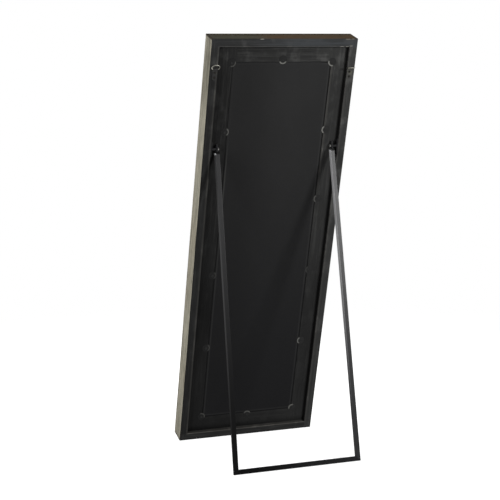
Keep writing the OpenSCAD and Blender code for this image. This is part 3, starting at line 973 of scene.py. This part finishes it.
def worn_rim(point, radius, towards, lap):
    """1 on the strip of a washer's rim that faces the sheet and is worn, and 0 elsewhere."""
    flat = Vector((point.x, -point.y, 0))
    away = flat.length
    facing = max(0.0, flat.normalized().dot(towards)) if away > 1e-6 else 0.0
    return clamp((away - (radius - lap)) / 0.0012) * clamp((facing - 0.34) / 0.3)


def make_washers(name, node, material):
    """Pressed washers with a rolled rim, bare on the strip that laps over the backing sheet."""
    look = settings("screws")
    shape = Shape()
    turn = Matrix((Vector((1, 0, 0)), -UPWARD, OUTWARD)).transposed().to_4x4()
    for points in solids_of(node):
        middle, low, high, radius = seat(points, OUTWARD)
        spot = along_frame(middle)
        height = spot.y - FOOT
        inwards = (height < END_ZONE) - (height > HEIGHT - END_ZONE)
        towards = Vector((-spot.x, inwards * END_ZONE, 0)).normalized()
        bright = min(WASHER_WEAR, key=lambda w: abs(w[0] - spot.x) + abs(w[1] - height))[2]

        def bare(point, radius=radius, towards=towards, bright=bright):
            return worn_rim(point, radius, towards, look.lap) * bright * bright

        profile = washer_profile(radius, high - low, look.bead)
        rings = [[Vector((x, y, z)) for x, y in around(r, WASHER_TURNS)] for r, z in profile]
        first = shape.revolve(rings, Matrix.Translation(middle + OUTWARD * low) @ turn, bare)
        last = first + WASHER_TURNS * (len(rings) - 1)
        shape.band(last, WASHER_TURNS, first, WASHER_TURNS)
    put_in_place(shape.make(name, material), node)


class TALLMIRROR_OT_outer_rails(bpy.types.Operator):
    """Weathers the four mitred outer rails and paints their backs"""

    bl_idname = "tall_mirror.outer_rails"
    bl_label = "Outer rails"

    def execute(self, context):
        upright = board_material("upright_rail_wood", True, 0.37)
        dress(["left_outer_rail", "right_outer_rail"], upright)
        top = board_material("top_rail_wood", False, 0.11, brown_at=0.09)
        dress(["top_outer_rail"], top)
        bottom = board_material("bottom_rail_wood", False, 0.83)
        dress(["bottom_outer_rail"], bottom)
        return {"FINISHED"}


class TALLMIRROR_OT_face_boards(bpy.types.Operator):
    """Weathers the stepped face boards and paints their backs"""

    bl_idname = "tall_mirror.face_boards"
    bl_label = "Face boards"

    def execute(self, context):
        seeds = {"left": 1.21, "right": 2.05, "top": 3.3, "bottom": 4.6}
        for place, seed in seeds.items():
            wood = board_material(f"{place}_board_wood", place in ("left", "right"), seed)
            dress([f"{place}_face_board"], wood)
        return {"FINISHED"}


class TALLMIRROR_OT_glass_and_backing(bpy.types.Operator):
    """Silvers the glass and blackens the sheet behind it"""

    bl_idname = "tall_mirror.glass_and_backing"
    bl_label = "Glass and backing"

    def execute(self, context):
        dress(["mirror_glass"], mirror_material())
        dress(["backing_board"], backing_material())
        return {"FINISHED"}


class TALLMIRROR_OT_retainers(bpy.types.Operator):
    """Makes the pressed washers that hold the glass, with their screws"""

    bl_idname = "tall_mirror.retainers"
    bl_label = "Retaining washers"

    def execute(self, context):
        make_washers("rolled_washers", "retaining_washers", washer_material())
        heads = painted_head_material()
        make_screws("washer_screws", "retaining_screws", lambda points: OUTWARD, heads)
        return {"FINISHED"}


class TALLMIRROR_OT_hangers(bpy.types.Operator):
    """Plates the hanging straps and rings, and makes their screws"""

    bl_idname = "tall_mirror.hangers"
    bl_label = "Hangers"

    def execute(self, context):
        look = settings("metal")
        dress(["left_hanger_strap", "right_hanger_strap"], strap_material())
        nickel = bare_metal("ring_nickel", look.nickel, 0.75, 0.22, 0.00006)
        dress(["left_hanger_ring", "right_hanger_ring"], nickel)
        dull = bare_metal("hanger_screw_dull", look.dull, 0.75, 0.5, 0.0001)
        make_screws("strap_screws", "hanger_screws", lambda points: OUTWARD, dull)
        return {"FINISHED"}


class TALLMIRROR_OT_pivots(bpy.types.Operator):
    """Finishes the pivots: plates, sleeves, washers, bolts and plate screws"""

    bl_idname = "tall_mirror.pivots"
    bl_label = "Pivots"

    def execute(self, context):
        look = settings("metal")
        dark = bare_metal("pivot_bolt_dark", look.oiled, 0.6, 0.34, 0.0001)
        dress(["left_pivot_bolt", "right_pivot_bolt"], dark)
        coat = sooty_material()
        plates = ["left_pivot_plate", "right_pivot_plate", "pivot_sleeves", "pivot_washers"]
        dress(plates, coat)

        def inwards(points):
            return Vector((-math.copysign(1, sum(p.x for p in points)), 0, 0))

        make_screws("plate_screws", "pivot_plate_screws", inwards, coat)
        return {"FINISHED"}


class TALLMIRROR_OT_stand(bpy.types.Operator):
    """Coats the U-shaped stand and its tongues"""

    bl_idname = "tall_mirror.stand"
    bl_label = "Stand"

    def execute(self, context):
        # The last number sets the painted highlight down one side of each leg.
        dress(["left_leg"], steel_material("left_leg_black", 0.27, "left_leg", 0.9))
        dress(["right_leg"], steel_material("right_leg_black", 0.37, "right_leg", 0.08))
        dress(["cross_bar"], steel_material("cross_bar_black", 0.06))
        dress(["left_leg_tongue", "right_leg_tongue"], sooty_material())
        return {"FINISHED"}


class TALLMIRROR_OT_stage(bpy.types.Operator):
    """Sets up the camera, the pale floor and the lamps"""

    bl_idname = "tall_mirror.stage"
    bl_label = "Stage"

    def execute(self, context):
        setup = settings("stage")
        make_camera(setup)
        make_floor(setup)
        key = make_lamp("key_lamp", (-2.55, 3.95, 2.1), (0, 0.1, 0.95), 0.9, 0.9, setup.key)
        key.visible_glossy = True
        make_lamp("side_lamp", (2.9, 1.5, 1.35), (0, 0.1, 0.9), 1.5, 1.9, setup.fill)
        make_lamp("front_lamp", (0.6, -3.4, 2.2), (0, 0, 0.9), 2.4, 2.4, setup.front)
        make_lamp("top_lamp", (0.0, 0.4, 4.2), (0, 0.1, 0.6), 3.0, 3.0, setup.over)
        make_sky(setup)
        return {"FINISHED"}


def make_camera(setup):
    """The camera at the photograph's place."""
    level = Vector((-math.sin(setup.yaw), -math.cos(setup.yaw), 0))
    ahead = level * math.cos(setup.pitch) - Vector((0, 0, math.sin(setup.pitch)))
    right = ahead.cross(Vector((0, 0, 1))).normalized()
    down = ahead.cross(right)
    side = right * math.cos(setup.roll) + down * math.sin(setup.roll)
    below = down * math.cos(setup.roll) - right * math.sin(setup.roll)
    data = bpy.data.cameras.new("studio_camera")
    data.lens = setup.lens
    data.sensor_width = 36
    data.clip_start = 0.1
    data.clip_end = 60
    camera = add_object("studio_camera", data)
    turn = Matrix((side, -below, -ahead)).transposed().to_4x4()
    camera.matrix_world = Matrix.Translation(Vector(setup.place)) @ turn
    bpy.context.scene.camera = camera


def make_lamp(name, place, target, width, height, power):
    """A soft rectangular lamp aimed at a point."""
    data = bpy.data.lights.new(name, "AREA")
    data.shape = "RECTANGLE"
    data.size = width
    data.size_y = height
    data.energy = power
    lamp = add_object(name, data)
    lamp.location = place
    lamp.rotation_euler = (Vector(target) - Vector(place)).to_track_quat("-Z", "Y").to_euler()
    lamp.visible_camera = False
    lamp.visible_glossy = False
    return lamp


def seen(finish):
    """1 for rays from the camera, from gloss and through glass, and 0 for light that bounces."""
    rays = finish.node("ShaderNodeLightPath", {}, {}).socket.node.outputs
    kinds = ("Camera", "Glossy", "Transmission")
    camera, gloss, glass = [Wire(finish, rays[f"Is {kind} Ray"]) for kind in kinds]
    return (camera + gloss + glass).least(1.0)


def make_floor(setup):
    """A pale round floor that fades into the white background and keeps the object's shadow."""
    work = bmesh.new()
    bmesh.ops.create_circle(work, cap_ends=True, segments=96, radius=setup.radius)
    mesh = bpy.data.meshes.new("studio_floor")
    work.to_mesh(mesh)
    work.free()
    finish = Finish("floor_pale")
    x, y, _ = finish.split(finish.place())
    level = finish.join(x, y, 0.0)
    away = finish.node("ShaderNodeVectorMath", {"operation": "LENGTH"}, {0: level}, "Value")
    shown = seen(finish)
    pale = finish.node("ShaderNodeBsdfDiffuse", {}, {"Color": linear(setup.floor)})
    light = {"Color": (1, 1, 1, 1), "Strength": shown * setup.glow}
    glow = finish.node("ShaderNodeEmission", {}, light)
    solid = finish.node("ShaderNodeAddShader", {}, {0: pale, 1: glow})
    clear = finish.node("ShaderNodeBsdfTransparent", {}, {})
    fade = away.ease(setup.radius * 0.28, setup.radius * 0.8)
    both = finish.node("ShaderNodeMixShader", {}, {0: fade, 1: solid, 2: clear})
    mesh.materials.append(finish.end(both))
    floor = add_object("studio_floor", mesh)


def make_sky(setup):
    """White to the camera, and a soft even light on the object."""
    sky = Finish("studio_sky", "worlds")
    strength = setup.sky + seen(sky) * (1 - setup.sky)
    glow = sky.node("ShaderNodeBackground", {}, {"Color": (1, 1, 1, 1), "Strength": strength})
    bpy.context.scene.world = sky.end(glow, "ShaderNodeOutputWorld")


OPERATORS = (
    TALLMIRROR_OT_outer_rails,
    TALLMIRROR_OT_face_boards,
    TALLMIRROR_OT_glass_and_backing,
    TALLMIRROR_OT_retainers,
    TALLMIRROR_OT_hangers,
    TALLMIRROR_OT_pivots,
    TALLMIRROR_OT_stand,
    TALLMIRROR_OT_stage,
)


class TALLMIRROR_PT_panel(bpy.types.Panel):
    """Lists the steps and their settings."""

    bl_label = "Leaning mirror"
    bl_idname = "TALLMIRROR_PT_panel"
    bl_space_type = "VIEW_3D"
    bl_region_type = "UI"
    bl_category = "Mirror"

    def draw(self, context):
        for operator in OPERATORS:
            self.layout.operator(operator.bl_idname)
        for name, group in GROUPS.items():
            box = self.layout.box()
            box.label(text=group.__doc__)
            for key in group.__annotations__:
                box.prop(settings(name), key)


def register():
    """Adds the settings, the steps and the panel."""
    for name, group in GROUPS.items():
        bpy.utils.register_class(group)
        setattr(bpy.types.Scene, "mirror_" + name, bpy.props.PointerProperty(type=group))
    for operator in OPERATORS:
        bpy.utils.register_class(operator)
    bpy.utils.register_class(TALLMIRROR_PT_panel)


def unregister():
    """Takes them away again."""
    bpy.utils.unregister_class(TALLMIRROR_PT_panel)
    for operator in reversed(OPERATORS):
        bpy.utils.unregister_class(operator)
    for name, group in reversed(GROUPS.items()):
        delattr(bpy.types.Scene, "mirror_" + name)
        bpy.utils.unregister_class(group)


def main():
    """Runs every step."""
    register()
    bpy.context.scene.view_settings.view_transform = "Standard"
    bpy.ops.tall_mirror.outer_rails()
    bpy.ops.tall_mirror.face_boards()
    bpy.ops.tall_mirror.glass_and_backing()
    bpy.ops.tall_mirror.retainers()
    bpy.ops.tall_mirror.hangers()
    bpy.ops.tall_mirror.pivots()
    bpy.ops.tall_mirror.stand()
    bpy.ops.tall_mirror.stage()


if __name__ == "__main__":
    main()
